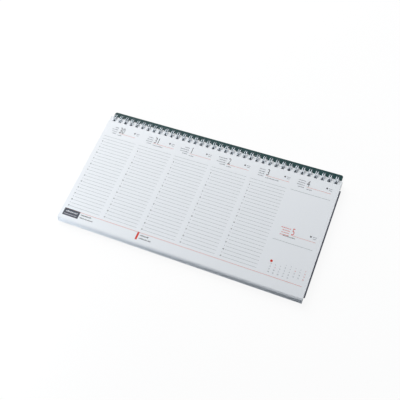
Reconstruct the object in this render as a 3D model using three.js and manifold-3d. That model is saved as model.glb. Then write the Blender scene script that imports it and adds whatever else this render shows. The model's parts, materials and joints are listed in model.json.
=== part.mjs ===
// A weekly desk planner: a pad of ruled sheets, bound along its long rear edge by a twin-loop wire
// to a dark cover sheet that is stiffened from below by a board.
// Millimetres. X runs along the wire, Y from the reader towards the wire, Z up from the table.
// The shapes are drawn with Y = 0 at the spine edge of the pages, then the whole is centred.

import * as THREE from 'three';
import { mergeVertices } from 'three/addons/utils/BufferGeometryUtils.js';
import Module from 'manifold-3d';

const wasm = await Module();
wasm.setup();

// The pad
const PAGE_LENGTH = 319;
const PAGE_DEPTH = 157.5;
const PAGES_THICK = 7.2;
// The sheets have slid forwards: the upper ones step down in a fan, the lower ones stand in a block
const FAN_REACH = 4;
const FAN_DROP = 2.4;
const FAN_SAG = 0.4;
const FAN_STEPS = 4;
const LIP_THICK = 0.6;
const LIP_OVERHANG = 0.5;

// The row of punched holes, three to the inch
const HOLE_PITCH = 25.4 / 3;
const HOLE_SIZE = 4;
const HOLE_INSET = 4.5;
const HOLE_END_MARGIN = 6;

// The stiffening board under the pad
const BOARD_THICK = 1.5;
const BOARD_SIDE_LAP = 1.3;
const BOARD_FRONT_SETBACK = 4.5;
const BOARD_REAR_SETBACK = 10;

// The cover sheet on the board, which runs out behind the wire
const COVER_THICK = 0.6;
const COVER_TAIL = 11.6;
const COVER_END_SETBACK = 1;
const COVER_CORNER_CUT = 1.5;

// The wire: pairs of parallel hoops, a hairpin at each tip and a straight link between neighbours
const WIRE_DIAMETER = 0.95;
const WIRE_PAIR_SPACING = 2.4;
const WIRE_CORNER = 0.8;
const WIRE_CLOSURE_DEG = 24;
const WIRE_SIDES = 5;
const HOOP_STEPS = 12;
const HAIRPIN_STEPS = 3;

// Fits
const TABLE_GAP = 0.05;
const RING_PLAY = 0.3;
const SPINE_PLAY = 0.1;
const SLOT_PLAY = 0.32;
const CUT_OVERRUN = 1;

// Heights
const coverBottom = BOARD_THICK;
const pagesBottom = coverBottom + COVER_THICK;
const pagesTop = pagesBottom + PAGES_THICK;

// Holes
const holeCount = Math.floor((PAGE_LENGTH - 2 * HOLE_END_MARGIN) / HOLE_PITCH) + 1;
const firstHoleX = -HOLE_PITCH * (holeCount - 1) / 2;
const holeX = (index) => firstHoleX + HOLE_PITCH * index;

// The ring stands on the table and passes clear of the hole's spine-side corner at a given height
const wireRadius = WIRE_DIAMETER / 2;
const holeSpineSide = HOLE_INSET - HOLE_SIZE / 2 + SPINE_PLAY;
function ringRadiusFor(height) {
  const rise = height - TABLE_GAP - wireRadius;
  const margin = wireRadius + RING_PLAY;
  return (holeSpineSide ** 2 + rise ** 2 - margin ** 2) / (2 * (rise - margin));
}
const ringRadius = Math.max(ringRadiusFor(pagesBottom), ringRadiusFor(pagesTop));
const ringY = SPINE_PLAY;
const ringZ = TABLE_GAP + wireRadius + ringRadius;

// Outer edges
const frontY = -PAGE_DEPTH - FAN_REACH;
const rearY = COVER_TAIL;
const centreShift = -(frontY + rearY) / 2;

function toSolid(geometry) {
  const bare = geometry.clone();
  bare.deleteAttribute('normal');
  bare.deleteAttribute('uv');
  const merged = mergeVertices(bare);
  const mesh = new wasm.Mesh({
    numProp: 3,
    vertProperties: new Float32Array(merged.attributes.position.array),
    triVerts: new Uint32Array(merged.index.array),
  });
  return new wasm.Manifold(mesh);
}

function toGeometry(solid) {
  const mesh = solid.getMesh();
  const geometry = new THREE.BufferGeometry();
  geometry.setAttribute('position', new THREE.BufferAttribute(mesh.vertProperties, 3));
  geometry.setIndex(new THREE.BufferAttribute(mesh.triVerts, 1));
  geometry.computeVertexNormals();
  return geometry;
}

function rectangle(left, right, front, rear) {
  const outline = new THREE.Shape();
  outline.moveTo(left, front);
  outline.lineTo(right, front);
  outline.lineTo(right, rear);
  outline.lineTo(left, rear);
  outline.closePath();
  return outline;
}

function plate(shape, bottom, thickness) {
  const geometry = new THREE.ExtrudeGeometry(shape, { depth: thickness, bevelEnabled: false });
  geometry.translate(0, 0, bottom);
  return geometry;
}

// Punches a row of rectangles, one per hoop pair, through a sheet or a stack of sheets
function punchRow(geometry, halfWidth, front, rear, bottom, thickness) {
  const openings = [];
  for (let i = 0; i < holeCount; i += 1) {
    openings.push(rectangle(holeX(i) - halfWidth, holeX(i) + halfWidth, front, rear));
  }
  const punches = plate(openings, bottom - CUT_OVERRUN, thickness + 2 * CUT_OVERRUN);
  return toGeometry(toSolid(geometry).subtract(toSolid(punches)));
}

function boardGeometry() {
  const halfLength = PAGE_LENGTH / 2 + BOARD_SIDE_LAP;
  const front = -PAGE_DEPTH + BOARD_FRONT_SETBACK;
  const rear = -BOARD_REAR_SETBACK;
  return plate(rectangle(-halfLength, halfLength, front, rear), 0, BOARD_THICK);
}

// The cover sheet has one slot per hoop pair, long enough for both sides of the ring
function coverGeometry() {
  const halfLength = PAGE_LENGTH / 2 - COVER_END_SETBACK;
  const front = -PAGE_DEPTH + BOARD_FRONT_SETBACK;
  const outline = new THREE.Shape();
  outline.moveTo(-halfLength, front);
  outline.lineTo(halfLength, front);
  outline.lineTo(halfLength, rearY - COVER_CORNER_CUT);
  outline.lineTo(halfLength - COVER_CORNER_CUT, rearY);
  outline.lineTo(-halfLength + COVER_CORNER_CUT, rearY);
  outline.lineTo(-halfLength, rearY - COVER_CORNER_CUT);
  outline.closePath();

  const outerRadius = ringRadius + wireRadius;
  const slotReach = Math.sqrt(outerRadius ** 2 - (ringZ - pagesBottom) ** 2) + SLOT_PLAY;
  const slotHalfWidth = WIRE_PAIR_SPACING / 2 + wireRadius + SLOT_PLAY;
  return punchRow(
    plate(outline, coverBottom, COVER_THICK),
    slotHalfWidth,
    ringY - slotReach,
    ringY + slotReach,
    coverBottom,
    COVER_THICK,
  );
}

// The pad's section, drawn as seen from the right-hand end and swept along the wire
function padSection() {
  const fanFoot = pagesTop - FAN_DROP;
  const lipFoot = fanFoot - LIP_THICK;
  const section = new THREE.Shape();
  section.moveTo(0, pagesBottom);
  section.lineTo(0, pagesTop);
  section.lineTo(-PAGE_DEPTH, pagesTop);
  section.quadraticCurveTo(
    -PAGE_DEPTH - FAN_REACH / 2 + FAN_SAG,
    pagesTop - FAN_DROP / 2 - FAN_SAG,
    frontY,
    fanFoot,
  );
  section.lineTo(frontY, lipFoot);
  section.lineTo(frontY + LIP_OVERHANG, lipFoot);
  section.lineTo(frontY + LIP_OVERHANG, pagesBottom);
  section.closePath();
  return section;
}

function padGeometry() {
  const pad = new THREE.ExtrudeGeometry(padSection(), {
    depth: PAGE_LENGTH,
    bevelEnabled: false,
    curveSegments: FAN_STEPS,
  });
  // The section's own x, y and depth become Y, Z and X
  pad.applyMatrix4(new THREE.Matrix4().set(
    0, 0, 1, -PAGE_LENGTH / 2,
    1, 0, 0, 0,
    0, 1, 0, 0,
    0, 0, 0, 1,
  ));

  const half = HOLE_SIZE / 2;
  return punchRow(pad, half, -HOLE_INSET - half, -HOLE_INSET + half, pagesBottom, PAGES_THICK);
}

// The flat pattern of the wire as it comes off its comb: x along the binding, s along a hoop
function wirePattern() {
  const halfPair = WIRE_PAIR_SPACING / 2;
  const hoopLength = ringRadius * THREE.MathUtils.degToRad(360 - WIRE_CLOSURE_DEG);
  const straightEnd = hoopLength - halfPair;
  const pattern = [];
  for (let i = 0; i < holeCount; i += 1) {
    const x = holeX(i);
    pattern.push([x - halfPair - WIRE_CORNER, 0]);
    for (let k = 0; k <= HOOP_STEPS; k += 1) {
      pattern.push([x - halfPair, THREE.MathUtils.lerp(WIRE_CORNER, straightEnd, k / HOOP_STEPS)]);
    }
    for (let k = 1; k < HAIRPIN_STEPS; k += 1) {
      const turn = Math.PI * k / HAIRPIN_STEPS;
      pattern.push([x - halfPair * Math.cos(turn), straightEnd + halfPair * Math.sin(turn)]);
    }
    for (let k = HOOP_STEPS; k >= 0; k -= 1) {
      pattern.push([x + halfPair, THREE.MathUtils.lerp(WIRE_CORNER, straightEnd, k / HOOP_STEPS)]);
    }
    pattern.push([x + halfPair + WIRE_CORNER, 0]);
  }
  return pattern;
}

// The pattern rolled round the ring's axis, from the links at the bottom rear, up and over
// the spine, down through the holes, to the hairpins at the bottom front
class WirePath extends THREE.Curve {
  constructor() {
    super();
    const linkAngle = THREE.MathUtils.degToRad(-90 + WIRE_CLOSURE_DEG / 2);
    this.points = wirePattern().map(([x, s]) => {
      const angle = linkAngle + s / ringRadius;
      return new THREE.Vector3(x, ringY + ringRadius * Math.cos(angle), ringZ + ringRadius * Math.sin(angle));
    });
    this.steps = this.points.length - 1;
  }

  // One step of the sweep per point, however long the step is
  getUtoTmapping(u) {
    return u;
  }

  getPoint(t, target = new THREE.Vector3()) {
    const place = t * this.steps;
    const index = Math.min(Math.floor(place), this.steps - 1);
    return target.lerpVectors(this.points[index], this.points[index + 1], place - index);
  }

  // The direction half-way between the steps before and after a point, so that a bend is mitred
  getTangent(t, target = new THREE.Vector3()) {
    const index = Math.round(t * this.steps);
    const here = this.points[index];
    target.set(0, 0, 0);
    if (index > 0) {
      target.add(here.clone().sub(this.points[index - 1]).normalize());
    }
    if (index < this.steps) {
      target.add(this.points[index + 1].clone().sub(here).normalize());
    }
    return target.normalize();
  }
}

function wireSection() {
  const section = new THREE.Shape();
  for (let i = 0; i < WIRE_SIDES; i += 1) {
    const angle = 2 * Math.PI * i / WIRE_SIDES;
    const x = wireRadius * Math.cos(angle);
    const y = wireRadius * Math.sin(angle);
    if (i === 0) {
      section.moveTo(x, y);
    } else {
      section.lineTo(x, y);
    }
  }
  section.closePath();
  return section;
}

function wireGeometry() {
  const path = new WirePath();
  return new THREE.ExtrudeGeometry(wireSection(), { steps: path.steps, extrudePath: path });
}

const greyBoard = new THREE.MeshStandardMaterial({ color: 0x4b4d5a, roughness: 0.8, metalness: 0 });
const greenCover = new THREE.MeshStandardMaterial({ color: 0x1f3d34, roughness: 0.55, metalness: 0 });
const whitePaper = new THREE.MeshStandardMaterial({ color: 0xe9edef, roughness: 0.85, metalness: 0 });
const greyWire = new THREE.MeshStandardMaterial({ color: 0x9aa3a6, roughness: 0.35, metalness: 0.7 });

function piece(name, geometry, material) {
  const mesh = new THREE.Mesh(geometry, material);
  mesh.name = name;
  return mesh;
}

const group = new THREE.Group();
group.add(piece('back_board', boardGeometry(), greyBoard));
group.add(piece('cover_sheet', coverGeometry(), greenCover));
group.add(piece('page_block', padGeometry(), whitePaper));
group.add(piece('wire_binding', wireGeometry(), greyWire));
group.position.y = centreShift;

export default group;
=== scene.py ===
# %% [markdown]
# A weekly desk planner, bound along its long rear edge with a twin-loop wire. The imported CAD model
# gives the board, the cover sheet, the pad of sheets and the wire at their real size. This script
# gives them their looks. Lengths are in metres. X runs along the wire, Y from the reader towards
# the wire, Z up from the table.

# %% Load the frame
import math
import random

import bmesh
import bpy
from mathutils import Matrix, Quaternion, Vector
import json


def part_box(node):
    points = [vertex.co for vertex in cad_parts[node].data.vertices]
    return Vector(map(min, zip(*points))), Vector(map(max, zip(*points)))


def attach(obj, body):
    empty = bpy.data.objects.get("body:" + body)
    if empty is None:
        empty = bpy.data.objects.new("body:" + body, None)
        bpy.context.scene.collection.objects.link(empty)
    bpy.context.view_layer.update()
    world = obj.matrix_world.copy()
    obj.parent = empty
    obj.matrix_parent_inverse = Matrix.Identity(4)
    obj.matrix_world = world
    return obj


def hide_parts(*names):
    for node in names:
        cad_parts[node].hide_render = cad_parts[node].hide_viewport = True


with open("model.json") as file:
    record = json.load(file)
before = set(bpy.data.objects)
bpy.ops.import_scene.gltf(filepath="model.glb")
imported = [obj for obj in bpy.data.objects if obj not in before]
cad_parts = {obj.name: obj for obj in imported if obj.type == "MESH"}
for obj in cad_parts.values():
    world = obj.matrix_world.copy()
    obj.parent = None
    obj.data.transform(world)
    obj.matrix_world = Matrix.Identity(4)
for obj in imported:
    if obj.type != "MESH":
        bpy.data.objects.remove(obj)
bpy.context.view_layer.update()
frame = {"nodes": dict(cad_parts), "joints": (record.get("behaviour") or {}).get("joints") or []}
MM = 0.001

# %% [markdown]
# Everything is placed from the frame, so that a change of the CAD sizes carries through. The pad's
# own box gives its ends and its heights. Its front face is fanned, so the top sheet's front edge is
# read from the highest points of the pad, and the wire's axis is the axis of the joint that the
# sheets turn on.

# %% Read the places that the looks are built on
pad_low, pad_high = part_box("page_block")
wire_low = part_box("wire_binding")[0]
pad_points = [v.co for v in frame["nodes"]["page_block"].data.vertices]
LEVEL = 0.01 * MM
page_left = pad_low.x
page_right = pad_high.x
page_rear = pad_high.y
page_front = min(p.y for p in pad_points if p.z > pad_high.z - LEVEL)
wire_axis = Vector(frame["joints"][0]["pos_m"])
page_length = page_right - page_left
page_depth = page_rear - page_front
pad_thick = pad_high.z - pad_low.z
print(f"page {page_length / MM:.1f} x {page_depth / MM:.1f} mm, pad {pad_thick / MM:.1f} mm thick")

# %% [markdown]
# The camera stands where the photograph was taken from: to the reader's right, looking down at
# about 62 degrees, and rolled a little, so that the wire runs down to the right across the picture.
# It is aimed at a point, and the roll is then a turn about its own line of sight.

# %% Camera
CAMERA_PLACE = Vector((204.15, -288.3, 674.5)) * MM
CAMERA_AIM = Vector((4.11, -5.0, 9.3)) * MM
CAMERA_ROLL_DEG = 14.82
CAMERA_LENS = 54.75
SENSOR_WIDTH = 36
PICTURE_SIDE = 400
HALF_PIXEL = 0.5 / PICTURE_SIDE
NEAREST_SEEN = 10 * MM

camera = bpy.data.objects.new("camera", bpy.data.cameras.new("camera"))
bpy.context.scene.collection.objects.link(camera)
camera.data.lens = CAMERA_LENS
camera.data.sensor_width = SENSOR_WIDTH
camera.data.shift_x = -HALF_PIXEL
camera.data.shift_y = HALF_PIXEL
camera.data.clip_start = NEAREST_SEEN
camera.location = CAMERA_PLACE
line_of_sight = (CAMERA_AIM - CAMERA_PLACE).to_track_quat("-Z", "Y")
camera.rotation_mode = "QUATERNION"
camera.rotation_quaternion = line_of_sight @ Quaternion((0, 0, 1), -math.radians(CAMERA_ROLL_DEG))
bpy.context.scene.camera = camera
print(f"camera {(CAMERA_PLACE - CAMERA_AIM).length:.3f} m from the page, lens {CAMERA_LENS} mm")

# %% [markdown]
# A few helpers make every material. Colours are written as a printer would, in parts of 255, and
# turned into the linear values that Blender's sockets take. A pattern reads Object coordinates,
# which stay with the piece when it moves. Its grain is a length: a noise of a third of a millimetre
# serves as paper fibre, one of 9 mm as wear.


# %% Material helpers
def ink(red, green, blue):
    def linear(part):
        share = part / 255
        return share / 12.92 if share <= 0.04045 else ((share + 0.055) / 1.055) ** 2.4

    return (linear(red), linear(green), linear(blue), 1)


def new_material(name, roughness, specular=0.5, metallic=0.0):
    made = bpy.data.materials.new(name)
    made.use_nodes = True
    shader = made.node_tree.nodes["Principled BSDF"]
    shader.inputs["Roughness"].default_value = roughness
    shader.inputs["Specular IOR Level"].default_value = specular
    shader.inputs["Metallic"].default_value = metallic
    return made, shader


def add_node(made, kind, **settings):
    node = made.node_tree.nodes.new(kind)
    for key, value in settings.items():
        if key in node.inputs:
            node.inputs[key].default_value = value
        else:
            setattr(node, key, value)
    return node


def join(made, source, target):
    made.node_tree.links.new(source, target)


def object_noise(made, grain, detail=4.0):
    place = add_node(made, "ShaderNodeTexCoord")
    noise = add_node(made, "ShaderNodeTexNoise", Scale=1 / grain, Detail=detail)
    join(made, place.outputs["Object"], noise.inputs["Vector"])
    return noise.outputs["Fac"]


def tint(made, shader, factor, dark, light, low=0.3, high=0.7):
    ramp = add_node(made, "ShaderNodeValToRGB")
    ramp.color_ramp.elements[0].position = low
    ramp.color_ramp.elements[0].color = dark
    ramp.color_ramp.elements[1].position = high
    ramp.color_ramp.elements[1].color = light
    join(made, factor, ramp.inputs["Fac"])
    join(made, ramp.outputs["Color"], shader.inputs["Base Color"])


def roughen(made, shader, factor, smooth, rough):
    spread = add_node(made, "ShaderNodeMapRange")
    spread.inputs["To Min"].default_value = smooth
    spread.inputs["To Max"].default_value = rough
    join(made, factor, spread.inputs["Value"])
    join(made, spread.outputs["Result"], shader.inputs["Roughness"])


def raise_surface(made, shader, factor, height, strength=1.0):
    bump = add_node(made, "ShaderNodeBump", Strength=strength, Distance=height)
    join(made, factor, bump.inputs["Height"])
    join(made, bump.outputs["Normal"], shader.inputs["Normal"])


# %% [markdown]
# The sheets are smooth uncoated writing paper: nearly white, with no gloss. What the eye takes for
# paper is a slight unevenness of tone and a fibre structure a few tenths of a millimetre long.

# %% Paper
PAPER_FIBRE = 0.35 * MM
FIBRE_HEIGHT = 0.012 * MM
paper, paper_shader = new_material("writing_paper", 0.85, specular=0.2)
paper_noise = object_noise(paper, PAPER_FIBRE, detail=6)
tint(paper, paper_shader, paper_noise, ink(234, 237, 240), ink(239, 242, 245))
raise_surface(paper, paper_shader, paper_noise, FIBRE_HEIGHT, 0.5)
print("made", paper.name)

# %% [markdown]
# The cover sheet is card covered with a dark green grained film. A Voronoi pattern gives the small
# pebbles of the grain, and a coarser noise makes some places a little more worn and shiny than
# others.

# %% Green grained cover
COVER_PEBBLE = 0.55 * MM
PEBBLE_HEIGHT = 0.05 * MM
COVER_WEAR = 9 * MM
green_cover, cover_shader = new_material("green_grained_cover", 0.5, specular=0.12)
cover_place = add_node(green_cover, "ShaderNodeTexCoord")
pebbles = add_node(green_cover, "ShaderNodeTexVoronoi", feature="SMOOTH_F1", Scale=1 / COVER_PEBBLE)
join(green_cover, cover_place.outputs["Object"], pebbles.inputs["Vector"])
cover_wear = object_noise(green_cover, COVER_WEAR)
tint(green_cover, cover_shader, cover_wear, ink(22, 53, 54), ink(35, 66, 67))
roughen(green_cover, cover_shader, cover_wear, 0.42, 0.62)
raise_surface(green_cover, cover_shader, pebbles.outputs["Distance"], PEBBLE_HEIGHT, 0.6)
print("made", green_cover.name)

# %% [markdown]
# The board is dense grey millboard. It is pressed from waste paper, so it is speckled and finely
# pitted.

# %% Grey millboard
BOARD_SPECKLE = 0.6 * MM
BOARD_PITS = 0.06 * MM
grey_board, board_shader = new_material("grey_millboard", 0.85, specular=0.2)
board_speckle = object_noise(grey_board, BOARD_SPECKLE, detail=8)
tint(grey_board, board_shader, board_speckle, ink(128, 130, 150), ink(164, 166, 182))
raise_surface(grey_board, board_shader, board_speckle, BOARD_PITS, 0.7)
print("made", grey_board.name)

# %% [markdown]
# The wire is steel with a satin silver coat. Drawing leaves fine marks along it, so its gloss
# varies a little.

# %% Silver wire
DRAWING_MARK = 1.2 * MM
silver_wire, wire_shader = new_material("satin_silver_wire", 0.35, metallic=0.7)
wire_marks = object_noise(silver_wire, DRAWING_MARK, detail=5)
tint(silver_wire, wire_shader, wire_marks, ink(166, 174, 182), ink(196, 203, 209))
roughen(silver_wire, wire_shader, wire_marks, 0.28, 0.45)
print("made", silver_wire.name)


# %% [markdown]
# Printing ink soaks into the paper, so it is as matt as the paper and slightly uneven. Each colour
# on the page is one material, made by one function.


# %% Printing inks
INK_GRAIN = 0.25 * MM
THINNER_INK = 10


def printing_ink(name, *full):
    made, shader = new_material(name, 0.8, specular=0.25)
    soak = object_noise(made, INK_GRAIN, detail=3)
    tint(made, shader, soak, ink(*full), ink(*(part + THINNER_INK for part in full)))
    return made


rule_grey = printing_ink("rule_grey_ink", 138, 147, 148)
text_grey = printing_ink("text_grey_ink", 108, 112, 120)
text_black = printing_ink("text_black_ink", 52, 52, 58)
panel_grey = printing_ink("panel_grey_ink", 78, 80, 88)
panel_light = printing_ink("panel_light_ink", 205, 208, 212)
sunday_red = printing_ink("sunday_red_ink", 202, 52, 36)
rule_red = printing_ink("rule_red_ink", 208, 98, 72)
print("inks:", [m.name for m in (rule_grey, text_grey, text_black, panel_grey, sunday_red, rule_red)])


# %% [markdown]
# Two helpers turn a bmesh into a piece: the mesh object with its material, then its ride on a CAD body.


# %% Piece helpers
def link_piece(name, mesh, material, body):
    made = bpy.data.objects.new(name, mesh)
    bpy.context.scene.collection.objects.link(made)
    mesh.materials.clear()
    mesh.materials.append(material)
    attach(made, body)
    return made


def finish_bmesh(name, bm, material, body):
    bmesh.ops.recalc_face_normals(bm, faces=bm.faces)
    for face in bm.faces:
        face.smooth = False
    mesh = bpy.data.meshes.new(name)
    bm.to_mesh(mesh)
    bm.free()
    return link_piece(name, mesh, material, body)


def triangle_count(piece):
    piece.data.calc_loop_triangles()
    return len(piece.data.loop_triangles)


# %% [markdown]
# The board and the cover sheet have the right form in the CAD model, but their edges are perfectly
# sharp. A copy of each node's loose triangles is merged, its flat faces are dissolved into whole
# ones, and the edges that turn a corner get a small bevel, which catches the light as a pressed
# edge does. The copy then stands for the node. The photographed cover sheet sits a millimetre to
# the left, so its two ends are moved by that and its slots are not.


# %% Soft-edged copies of the board and the cover sheet
END_ZONE = 2.2 * MM
FLAT_DEG = 1
CORNER_DEG = 30


def soft_edged_copy(name, node, material, edge, left_shift=0.0, right_shift=0.0):
    bm = bmesh.new()
    bm.from_mesh(frame["nodes"][node].data)
    bmesh.ops.remove_doubles(bm, verts=bm.verts, dist=LEVEL)
    node_low, node_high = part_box(node)
    for v in bm.verts:
        if v.co.x < node_low.x + END_ZONE:
            v.co.x += left_shift
        elif v.co.x > node_high.x - END_ZONE:
            v.co.x += right_shift
    bmesh.ops.dissolve_limit(bm, angle_limit=math.radians(FLAT_DEG), verts=bm.verts, edges=bm.edges)
    corner = math.radians(CORNER_DEG)
    turned = [e for e in bm.edges if len(e.link_faces) == 2 and e.calc_face_angle() > corner]
    bmesh.ops.bevel(
        bm, geom=turned, offset=edge, offset_type="OFFSET", segments=2, profile=0.5,
        affect="EDGES", material=-1, clamp_overlap=True,
    )
    piece = finish_bmesh(name, bm, material, "base")
    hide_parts(node)
    print(name, triangle_count(piece), "triangles")


soft_edged_copy("millboard", "back_board", grey_board, 0.12 * MM)
soft_edged_copy(
    "grained_cover", "cover_sheet", green_cover, 0.1 * MM,
    left_shift=-1.2 * MM, right_shift=-0.7 * MM,
)

# %% [markdown]
# The pad is really about sixty-five sheets. A block would show one blank face where the eye expects
# a bundle of edges, so each sheet is made by itself: a grid whose hole cells are left out, with its
# rear row on the wire. The top sheets are fanned, and the light from behind catches their steps.
# The lower ones lean forward to the foot of the CAD solid, in the shade of those above. A seed
# keeps the small scatter the same each time.

# %% Read the holes and the fan from the frame
hole_points = [p for p in pad_points if page_left + LEVEL < p.x < page_right - LEVEL]
hole_edges_x = sorted({round(p.x, 6) for p in hole_points})
hole_rows_y = sorted({round(p.y, 6) for p in hole_points})
hole_front, hole_rear = hole_rows_y[0], hole_rows_y[-1]
hole_count = len(hole_edges_x) // 2
pad_foot_front = min(p.y for p in pad_points if p.z < pad_low.z + LEVEL)
foot_reach = page_front - pad_foot_front
print(f"{hole_count} holes; the lowest sheets lie {foot_reach / MM:.1f} mm further forward")

FAN_DROP = 1.0 * MM
FAN_REACH = 1.9 * MM
fan_foot = pad_high.z - FAN_DROP


def front_at(height):
    """The sheets' front edge at a height: the top few are fanned, the rest lean down to the foot."""
    if height > fan_foot:
        return page_front - FAN_REACH * (pad_high.z - height) / FAN_DROP
    lean = foot_reach - FAN_REACH
    return page_front - FAN_REACH - lean * (fan_foot - height) / (fan_foot - pad_low.z)


# %% Sheets
SHEET_COUNT = 65
SHEET_SHARE = 0.92
SCATTER = 0.008 * MM
REAR_TRIM = 0.45 * MM
random.seed(11)
sheet_pitch = pad_thick / SHEET_COUNT
sheet_thick = sheet_pitch * SHEET_SHARE


def add_sheet(bm, bottom, thickness, front, shift_x, inset_y):
    columns = [page_left, *hole_edges_x, page_right]
    rows = [front, hole_front, hole_rear, page_rear - inset_y]
    made = bmesh.ops.create_grid(bm, x_segments=len(columns) - 1, y_segments=len(rows) - 1, size=0.5)
    span_x = len(columns) - 1
    span_y = len(rows) - 1
    kept, cut = [], []
    for face in dict.fromkeys(f for v in made["verts"] for f in v.link_faces):
        middle = face.calc_center_median()
        column = math.floor((middle.x + 0.5) * span_x)
        row = math.floor((middle.y + 0.5) * span_y)
        in_hole = row == 1 and column % 2 == 1
        (cut if in_hole else kept).append(face)
    for v in made["verts"]:
        column = round((v.co.x + 0.5) * span_x)
        row = round((v.co.y + 0.5) * span_y)
        v.co = Vector((columns[column] + shift_x, rows[row], bottom))
    bmesh.ops.delete(bm, geom=cut, context="FACES_KEEP_BOUNDARY")
    raised = bmesh.ops.extrude_face_region(bm, geom=kept, use_keep_orig=True)
    tops = [g for g in raised["geom"] if isinstance(g, bmesh.types.BMVert)]
    bmesh.ops.translate(bm, verts=tops, vec=(0, 0, thickness))


def face_order(face):
    """A face's place in the mesh, from its corners: extruding gives its sides in no fixed order."""
    first, second, third = sorted(v.index for v in face.verts)[:3]
    return (first * len(sheets.verts) + second) * len(sheets.verts) + third


sheets = bmesh.new()
for index in range(SHEET_COUNT):
    bottom = pad_low.z + index * sheet_pitch + (sheet_pitch - sheet_thick)
    middle = bottom + sheet_thick / 2
    drift = random.uniform(0, SCATTER)
    add_sheet(
        sheets, bottom, sheet_thick, front_at(middle) + drift,
        random.uniform(-SCATTER, SCATTER) / 2, REAR_TRIM + random.uniform(0, SCATTER),
    )
sheets.verts.index_update()
sheets.faces.sort(key=face_order)
sheet_stack = finish_bmesh("sheet_stack", sheets, paper, "pages")
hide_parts("page_block")
print(SHEET_COUNT, "sheets,", triangle_count(sheet_stack), "triangles")

# %% [markdown]
# The wire is one length, bent back and forth into a comb, rolled into a ring and pinched shut. In
# the flat comb it goes along a link, up one hoop, round a hairpin, down the other hoop and on to
# the next link. The script draws that flat line with rounded corners, rolls it round the wire's
# axis, and gives it a round section as a curve's bevel.

# %% Wire
WIRE_DIAMETER = 0.9 * MM
WIRE_PAIR_SPACING = 2.4 * MM
WIRE_CORNER = 0.8 * MM
WIRE_CLOSURE_DEG = 24
HOOP_POINTS = 30
TURN_POINTS = 6
wire_radius = WIRE_DIAMETER / 2
ring_radius = wire_axis.z - wire_low.z - wire_radius
hoop_length = ring_radius * math.radians(360 - WIRE_CLOSURE_DEG)
hole_middles = [(a + b) / 2 for a, b in zip(hole_edges_x[::2], hole_edges_x[1::2])]


def comb_tooth(middle):
    """The flat line of one pair of hoops, as (place along the wire, distance up the hoop)."""
    half = WIRE_PAIR_SPACING / 2
    straight = hoop_length - half
    rise = [WIRE_CORNER + (straight - WIRE_CORNER) * k / HOOP_POINTS for k in range(HOOP_POINTS + 1)]
    turns = [k / TURN_POINTS for k in range(TURN_POINTS)]
    quarters = [q * math.pi / 2 for q in turns]
    corner_in = [
        (-half - WIRE_CORNER * (1 - math.sin(a)), WIRE_CORNER * (1 - math.cos(a)))
        for a in quarters
    ]
    hairpin = [
        (-half * math.cos(q * math.pi), straight + half * math.sin(q * math.pi))
        for q in turns[1:]
    ]
    up = corner_in + [(-half, s) for s in rise]
    line = up + hairpin + [(-x, s) for x, s in reversed(up)]
    return [(middle + x, s) for x, s in line]


def rolled(along, distance):
    angle = math.radians(-90 + WIRE_CLOSURE_DEG / 2) + distance / ring_radius
    return Vector((
        along,
        wire_axis.y + ring_radius * math.cos(angle),
        wire_axis.z + ring_radius * math.sin(angle),
    ))


wire_line = [rolled(x, s) for middle in hole_middles for x, s in comb_tooth(middle)]
wire_curve = bpy.data.curves.new("twin_loop_wire", "CURVE")
wire_curve.dimensions = "3D"
wire_curve.bevel_depth = wire_radius
wire_curve.bevel_resolution = 2
wire_curve.use_fill_caps = True
spline = wire_curve.splines.new("POLY")
spline.points.add(len(wire_line) - 1)
for point, place in zip(spline.points, wire_line):
    point.co = (*place, 1)
wire_draft = bpy.data.objects.new("wire_draft", wire_curve)
bpy.context.scene.collection.objects.link(wire_draft)
bpy.context.view_layer.update()
seen = wire_draft.evaluated_get(bpy.context.evaluated_depsgraph_get())
wire_mesh = bpy.data.meshes.new_from_object(seen)
bpy.data.objects.remove(wire_draft)
wire_mesh.name = "twin_loop_wire"
for polygon in wire_mesh.polygons:
    polygon.use_smooth = True
wire = link_piece("twin_loop_wire", wire_mesh, silver_wire, "base")
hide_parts("wire_binding")
print(len(hole_middles), "pairs of hoops,", triangle_count(wire), "triangles")

# %% [markdown]
# The print is laid on as very thin closed pieces, one mesh for each ink, a hundredth of a
# millimetre above the paper. A place on the page is given as a designer would, in millimetres from
# its left edge and from its rear edge. Words are left as lines of small grey dashes, and only plain
# numbers are set as type.

# %% Print helpers
PRINT_LIFT = 0.012 * MM
PRINT_THICK = 0.008 * MM
LAYER_STEP = 1.5 * PRINT_THICK
SAME_POINT = 0.0005 * MM
LAST_DASH = 0.3
DASH_LENGTHS = (0.35, 0.9)
DASH_HEIGHTS = (0.62, 0.7, 0.95)
DASH_GAP = 0.28


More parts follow.
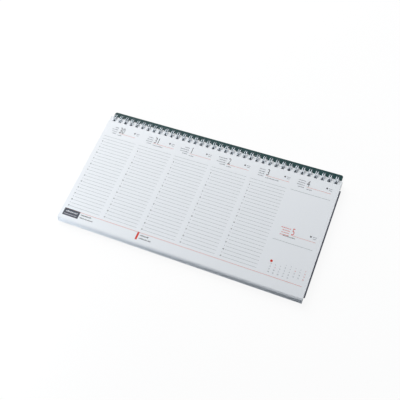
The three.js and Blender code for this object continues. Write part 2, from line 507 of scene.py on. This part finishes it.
class Ink:
    """A mesh that takes all the marks of one colour. A layer of 1 is printed on top of a layer of 0."""

    def __init__(self, name, material, layer=0):
        self.name = name
        self.material = material
        self.middle_z = pad_high.z + PRINT_LIFT + PRINT_THICK / 2 + LAYER_STEP * layer
        self.bm = bmesh.new()

    def at(self, across, down):
        return Vector((page_left + across * MM, page_rear - down * MM, self.middle_z))

    def bar(self, left, right, top, bottom):
        low = self.at(left, bottom)
        high = self.at(right, top)
        size = Vector((high.x - low.x, high.y - low.y, PRINT_THICK))
        place = Matrix.Translation((low + high) / 2)
        bmesh.ops.create_cube(self.bm, size=1, matrix=place @ Matrix.Diagonal((*size, 1)))

    def dot(self, across, down, radius):
        place = Matrix.Translation(self.at(across, down))
        bmesh.ops.create_cone(
            self.bm, cap_ends=True, segments=32, radius1=radius * MM, radius2=radius * MM,
            depth=PRINT_THICK, matrix=place,
        )

    def word(self, left, right, base, height):
        """A run of short dashes that reads as small type from arm's length."""
        at = left
        while at < right - LAST_DASH:
            end = min(at + random.uniform(*DASH_LENGTHS) * height, right)
            self.bar(at, end, base - height * random.choice(DASH_HEIGHTS), base)
            at = end + DASH_GAP * height

    def number(self, text, left, base, height, narrow=1.0, centre=False, bolder=0.0):
        """A plain number, made from the built-in type and scaled to its height in millimetres."""
        glyphs = bpy.data.curves.new("number", "FONT")
        glyphs.body = text
        glyphs.extrude = PRINT_THICK / 2 / MM
        glyphs.offset = bolder
        glyphs.resolution_u = 3
        glyphs.align_x = "CENTER" if centre else "LEFT"
        draft = bpy.data.objects.new("number", glyphs)
        bpy.context.scene.collection.objects.link(draft)
        bpy.context.view_layer.update()
        drawn = draft.evaluated_get(bpy.context.evaluated_depsgraph_get())
        mesh = bpy.data.meshes.new_from_object(drawn)
        bpy.data.objects.remove(draft)
        tall = max(v.co.y for v in mesh.vertices)
        grow = height * MM / tall
        place = Matrix.Translation(self.at(left, base))
        mesh.transform(place @ Matrix.Diagonal((grow * narrow, grow, MM, 1)))
        self.bm.from_mesh(mesh)
        bpy.data.meshes.remove(mesh)

    def lay(self):
        bmesh.ops.remove_doubles(self.bm, verts=self.bm.verts, dist=SAME_POINT)
        piece = finish_bmesh(self.name, self.bm, self.material, "pages")
        print(self.name, triangle_count(piece), "triangles")


rules = Ink("print_rules", rule_grey)
small_type = Ink("print_small_type", text_grey)
black_type = Ink("print_black_type", text_black)
panel = Ink("print_panel", panel_grey)
panel_marks = Ink("print_panel_marks", panel_light, layer=1)
red_type = Ink("print_red_type", sunday_red)
red_rules = Ink("print_red_rules", rule_red)

# %% [markdown]
# Five weekday columns carry twenty-five ruled lines each. Every second line is an hour, with a
# plain number at its left end, and the lines between have a short dash. The sixth column holds two
# unruled boxes.

# %% Ruled columns
COLUMN_LEFT = 4.1
COLUMN_PITCH = 51.65
COLUMN_WIDTH = 46.9
WEEKDAYS = 5
FIRST_LINE = 30.9
LINE_PITCH = 4.53
LINES = 25
FULL_LINES = 2
RULE_WIDTH = 0.32
LINE_INDENT = 4.4
FIRST_HOUR = 8
HOUR_INSET = 2.3
HOUR_DROP = 0.5
HOUR_HEIGHT = 1.7
HOUR_BOLDER = 0.04
HALF_HOUR_ENDS = (1.6, 3.0)
HALF_HOUR_LIFTS = (0.5, 0.1)
SMALL_NARROW = 0.85


def column_left(column):
    return COLUMN_LEFT + COLUMN_PITCH * column


def rule(mark, left, right, down, width=RULE_WIDTH):
    mark.bar(left, right, down - width / 2, down + width / 2)


for column in range(WEEKDAYS):
    left = column_left(column)
    for line in range(LINES):
        down = FIRST_LINE + LINE_PITCH * line
        half_hours = line - FULL_LINES
        indent = 0 if half_hours < 0 else LINE_INDENT
        rule(rules, left + indent, left + COLUMN_WIDTH, down)
        if half_hours < 0:
            continue
        if half_hours % 2 == 0:
            black_type.number(
                str(FIRST_HOUR + half_hours // 2), left + HOUR_INSET, down + HOUR_DROP,
                HOUR_HEIGHT, SMALL_NARROW, centre=True, bolder=HOUR_BOLDER,
            )
        else:
            dash_left, dash_right = (left + end for end in HALF_HOUR_ENDS)
            dash_top, dash_bottom = (down - lift for lift in HALF_HOUR_LIFTS)
            small_type.bar(dash_left, dash_right, dash_top, dash_bottom)

# %% [markdown]
# Each day has a heading: a tall number, four short lines of small type to its left, a fine red rule
# under it, a line of small type under that, and a small square with two short lines at the right.
# One function sets them all.

# %% Day headings
NUMBER_INSET = 17.0
NUMBER_HEIGHT = 8.8
NUMBER_NARROW = 0.62
NUMBER_BOLDER = -0.003
NAME_GAP = 2.0
NAME_PITCH = 3.05
NAME_HEIGHT = 1.25
TOP_LINE_RISE = 6.2
HEADING_RULE_DROP = 0.6
HEADING_RULE_WIDTH = 0.34
UNDER_DROP = 3.9
UNDER_HEIGHT = 1.3
SQUARE_SIZE = 1.9
NOTE_HEIGHT = 1.1
NOTE_LINES = ((3.3, 7.8, 1.1), (4.0, 7.4, 3.3))


def heading(day, left, base, inks, name_widths, under, rule_ends, square):
    """One day's heading. The ends of its lines are given from the column's left edge."""
    name_ink, number_ink, under_ink = inks
    number_left = left + NUMBER_INSET
    number_ink.number(day, number_left, base, NUMBER_HEIGHT, NUMBER_NARROW, bolder=NUMBER_BOLDER)
    top = base - TOP_LINE_RISE
    name_right = number_left - NAME_GAP
    for line, width in enumerate(name_widths):
        name_ink.word(name_right - width, name_right, top + NAME_PITCH * line, NAME_HEIGHT)
    rule_left, rule_right = (left + end for end in rule_ends)
    rule(red_rules, rule_left, rule_right, base + HEADING_RULE_DROP, HEADING_RULE_WIDTH)
    under_ink.word(left + under[0], left + under[1], base + UNDER_DROP, UNDER_HEIGHT)
    square_left = left + square
    black_type.bar(square_left, square_left + SQUARE_SIZE, top, top + SQUARE_SIZE)
    for note_left, note_right, drop in NOTE_LINES:
        small_type.word(square_left + note_left, square_left + note_right, top + drop, NOTE_HEIGHT)


HEADING_BASE = 21.5
HEADING_RISE = 0.16
weekday_inks = (small_type, black_type, small_type)
headings = [
    ("30", (5, 8.5, 7.5, 6), (17.5, 23.0), (18.5, 42.5), 38.4),
    ("31", (7, 8, 8.5, 6.5), (17.5, 32.0), (16.5, 46.5), 37.9),
    ("1", (6.5, 12, 11, 7), (17.5, 24.0), (17.5, 46.5), 38.2),
    ("2", (11, 9.5, 12, 7), (17.5, 24.0), (17.5, 46.5), 38.6),
    ("3", (8, 7.5, 8, 7.5), (17.5, 34.5), (17.5, 47.5), 39.5),
    ("4", (9, 9, 9.5, 7.5), (18.5, 25.5), (18.0, 48.5), 40.9),
]
random.seed(5)
for column, (day, name_widths, under, rule_ends, square) in enumerate(headings):
    base = HEADING_BASE - HEADING_RISE * column
    heading(day, column_left(column), base, weekday_inks, name_widths, under, rule_ends, square)

SUNDAY_BASE = 87.7
SUNDAY_INDENT = 2.6
BOX_RULE_WIDTH = 0.38
BOX_RULES = ((0.4, 49.8, FIRST_LINE - 0.9), (0.9, 49.2, 98.6))
sunday_inks = (red_type, red_type, black_type)
weekend_left = column_left(WEEKDAYS)
heading(
    "5", weekend_left + SUNDAY_INDENT, SUNDAY_BASE, sunday_inks,
    (11.5, 9, 9.5, 10.5), (8.6, 23.4), (17.0, 47.6), 39.0,
)
for rule_left, rule_right, down in BOX_RULES:
    rule(rules, weekend_left + rule_left, weekend_left + rule_right, down, BOX_RULE_WIDTH)
print("headings set at", [round(column_left(c), 1) for c in range(WEEKDAYS + 1)])

# %% [markdown]
# Low in the last column stand a red dot and a small month: week numbers down the left, then seven
# columns of dates, with the free day in red.

# %% Small month
MONTH_LEFT = 271.9
MONTH_TOP = 125.6
MONTH_PITCH_X = 5.78
MONTH_PITCH_Y = 3.5
MONTH_TYPE = 1.5
MONTH_WEEKS = 5
MONTH_FIRST_WEEK = 14
MONTH_DAYS = 30
MONTH_START = 2
SUNDAY = 6
RED_DATES = (10, 13)
DOT_RADIUS = 1.6


def month_number(mark, value, place, base):
    across = MONTH_LEFT + MONTH_PITCH_X * place
    mark.number(str(value), across, base, MONTH_TYPE, SMALL_NARROW, centre=True)


red_type.dot(MONTH_LEFT - 0.5, MONTH_TOP + 0.3, DOT_RADIUS)
for week in range(MONTH_WEEKS):
    base = MONTH_TOP + MONTH_PITCH_Y * week + MONTH_TYPE / 2
    if week:
        month_number(black_type, MONTH_FIRST_WEEK + week, 0, base)
    for weekday in range(7):
        date = week * 7 + weekday - MONTH_START + 1
        if 1 <= date <= MONTH_DAYS:
            mark = red_type if weekday == SUNDAY or date in RED_DATES else small_type
            month_number(mark, date, weekday + 1, base)

# %% [markdown]
# A fine orange-red rule closes the page at the front. Under it, at the left, are a plain dark panel
# and a short red bar, each with two lines of small type beside it. Each line is given by its ends,
# its base below the rule and its height.

# %% Foot of the page
FOOT_RULE = 144.2
FOOT_RULE_RIGHT = 313.5
FOOT_RULE_WIDTH = 0.38
PANEL_RIGHT = 26.2
RED_BAR_LEFT = 106.7
RED_BAR_RIGHT = 109.1
FOOT_TYPE = [
    (panel_marks, 7.2, 23.6, 3.9, 2.1),
    (panel_marks, 6.6, 24.0, 7.2, 0.9),
    (black_type, 28.3, 42.7, 3.4, 1.9),
    (black_type, 28.3, 46.3, 7.1, 1.5),
    (black_type, 111.2, 122.6, 3.9, 1.9),
    (black_type, 111.2, 127.2, 7.7, 1.5),
]
rule(red_rules, COLUMN_LEFT, FOOT_RULE_RIGHT, FOOT_RULE, FOOT_RULE_WIDTH)
panel.bar(COLUMN_LEFT, PANEL_RIGHT, FOOT_RULE - 0.6, FOOT_RULE + 9.2)
red_type.bar(RED_BAR_LEFT, RED_BAR_RIGHT, FOOT_RULE - 0.3, FOOT_RULE + 9.9)
for mark, line_left, line_right, drop, height in FOOT_TYPE:
    mark.word(line_left, line_right, FOOT_RULE + drop, height)

for mark in (rules, small_type, black_type, panel, panel_marks, red_type, red_rules):
    mark.lay()

# %% [markdown]
# The floor is plain and pale. For the camera it is nearly white, whatever the lamps do, yet a part
# of its shade is still real, so the planner's faint shadow stays. For bounced light it is a darker
# grey, because the photograph's front edge of sheets gets little light from below.

# %% Floor
FLOOR_SIZE = 12
FLOOR_GLOW = 1.03
FLOOR_SHADE_SHARE = 0.12
FLOOR_PALE = (0.8, 0.8, 0.8, 1)
FLOOR_BOUNCE = (0.08, 0.08, 0.08, 1)
floor_bm = bmesh.new()
bmesh.ops.create_grid(floor_bm, x_segments=1, y_segments=1, size=FLOOR_SIZE / 2)
floor_mesh = bpy.data.meshes.new("floor")
floor_bm.to_mesh(floor_mesh)
floor_bm.free()
floor = bpy.data.objects.new("floor", floor_mesh)
bpy.context.scene.collection.objects.link(floor)
pale_floor, floor_shader = new_material("pale_floor", 0.9, specular=0.0)
floor_shader.inputs["Base Color"].default_value = FLOOR_PALE
floor_light = add_node(pale_floor, "ShaderNodeEmission", Strength=FLOOR_GLOW)
floor_seen = add_node(pale_floor, "ShaderNodeMixShader", Fac=1 - FLOOR_SHADE_SHARE)
floor_bounce = add_node(pale_floor, "ShaderNodeBsdfDiffuse", Color=FLOOR_BOUNCE)
floor_path = add_node(pale_floor, "ShaderNodeLightPath")
floor_mix = add_node(pale_floor, "ShaderNodeMixShader")
floor_end = pale_floor.node_tree.nodes["Material Output"]
join(pale_floor, floor_shader.outputs[0], floor_seen.inputs[1])
join(pale_floor, floor_light.outputs[0], floor_seen.inputs[2])
join(pale_floor, floor_path.outputs["Is Camera Ray"], floor_mix.inputs[0])
join(pale_floor, floor_bounce.outputs[0], floor_mix.inputs[1])
join(pale_floor, floor_seen.outputs[0], floor_mix.inputs[2])
join(pale_floor, floor_mix.outputs[0], floor_end.inputs["Surface"])
floor_mesh.materials.append(pale_floor)
print("floor", FLOOR_SIZE, "m")

# %% [markdown]
# The world gives a little bluish light from all sides. The camera and the reflections in the wire
# see it as white.

# %% World
WORLD_LIGHT = 0.09
WORLD_TINT = (0.88, 0.98, 1.12, 1)
WHITE = (1, 1, 1, 1)
world = bpy.data.worlds.new("studio")
bpy.context.scene.world = world
world.use_nodes = True
sky = world.node_tree.nodes["Background"]
sky.inputs["Color"].default_value = WORLD_TINT
sky.inputs["Strength"].default_value = WORLD_LIGHT
white_sky = add_node(world, "ShaderNodeBackground", Color=WHITE)
sky_path = add_node(world, "ShaderNodeLightPath")
sky_seen = add_node(world, "ShaderNodeMath", operation="MAXIMUM")
sky_mix = add_node(world, "ShaderNodeMixShader")
join(world, sky_path.outputs["Is Camera Ray"], sky_seen.inputs[0])
join(world, sky_path.outputs["Is Glossy Ray"], sky_seen.inputs[1])
join(world, sky_seen.outputs[0], sky_mix.inputs[0])
join(world, sky.outputs[0], sky_mix.inputs[1])
join(world, white_sky.outputs[0], sky_mix.inputs[2])
join(world, sky_mix.outputs[0], world.node_tree.nodes["World Output"].inputs["Surface"])
print("world light", WORLD_LIGHT)


# %% [markdown]
# The page is brightest at its left end, and its front edge is light at the left and in shade at the
# right. So the main lamp is a very large soft one, high behind the left end, and a small one low at
# the front left lights the left part of the sheets' edges and falls off fast. A weak one at the
# right keeps the pad's right end pale.


# %% Lamps
def area_lamp(name, place, aim, size, power, colour=(1, 1, 1)):
    lamp = bpy.data.lights.new(name, "AREA")
    lamp.shape = "SQUARE"
    lamp.size = size
    lamp.energy = power
    lamp.color = colour
    made = bpy.data.objects.new(name, lamp)
    bpy.context.scene.collection.objects.link(made)
    made.location = place
    made.rotation_mode = "QUATERNION"
    made.rotation_quaternion = (Vector(aim) - Vector(place)).to_track_quat("-Z", "Y")


BLUISH = (0.93, 0.99, 1.05)
area_lamp("left_window", (-0.8, 0.85, 0.9), (0, 0, 0), 1.4, 32)
area_lamp("front_left_fill", (-0.36, -0.33, 0.055), (-0.14, -0.08, 0), 0.1, 1.6, BLUISH)
area_lamp("right_bounce", (0.6, 0.12, 0.15), (0.16, 0, 0), 0.35, 0.65)
bpy.context.scene.view_settings.view_transform = "Standard"
print("three lamps")
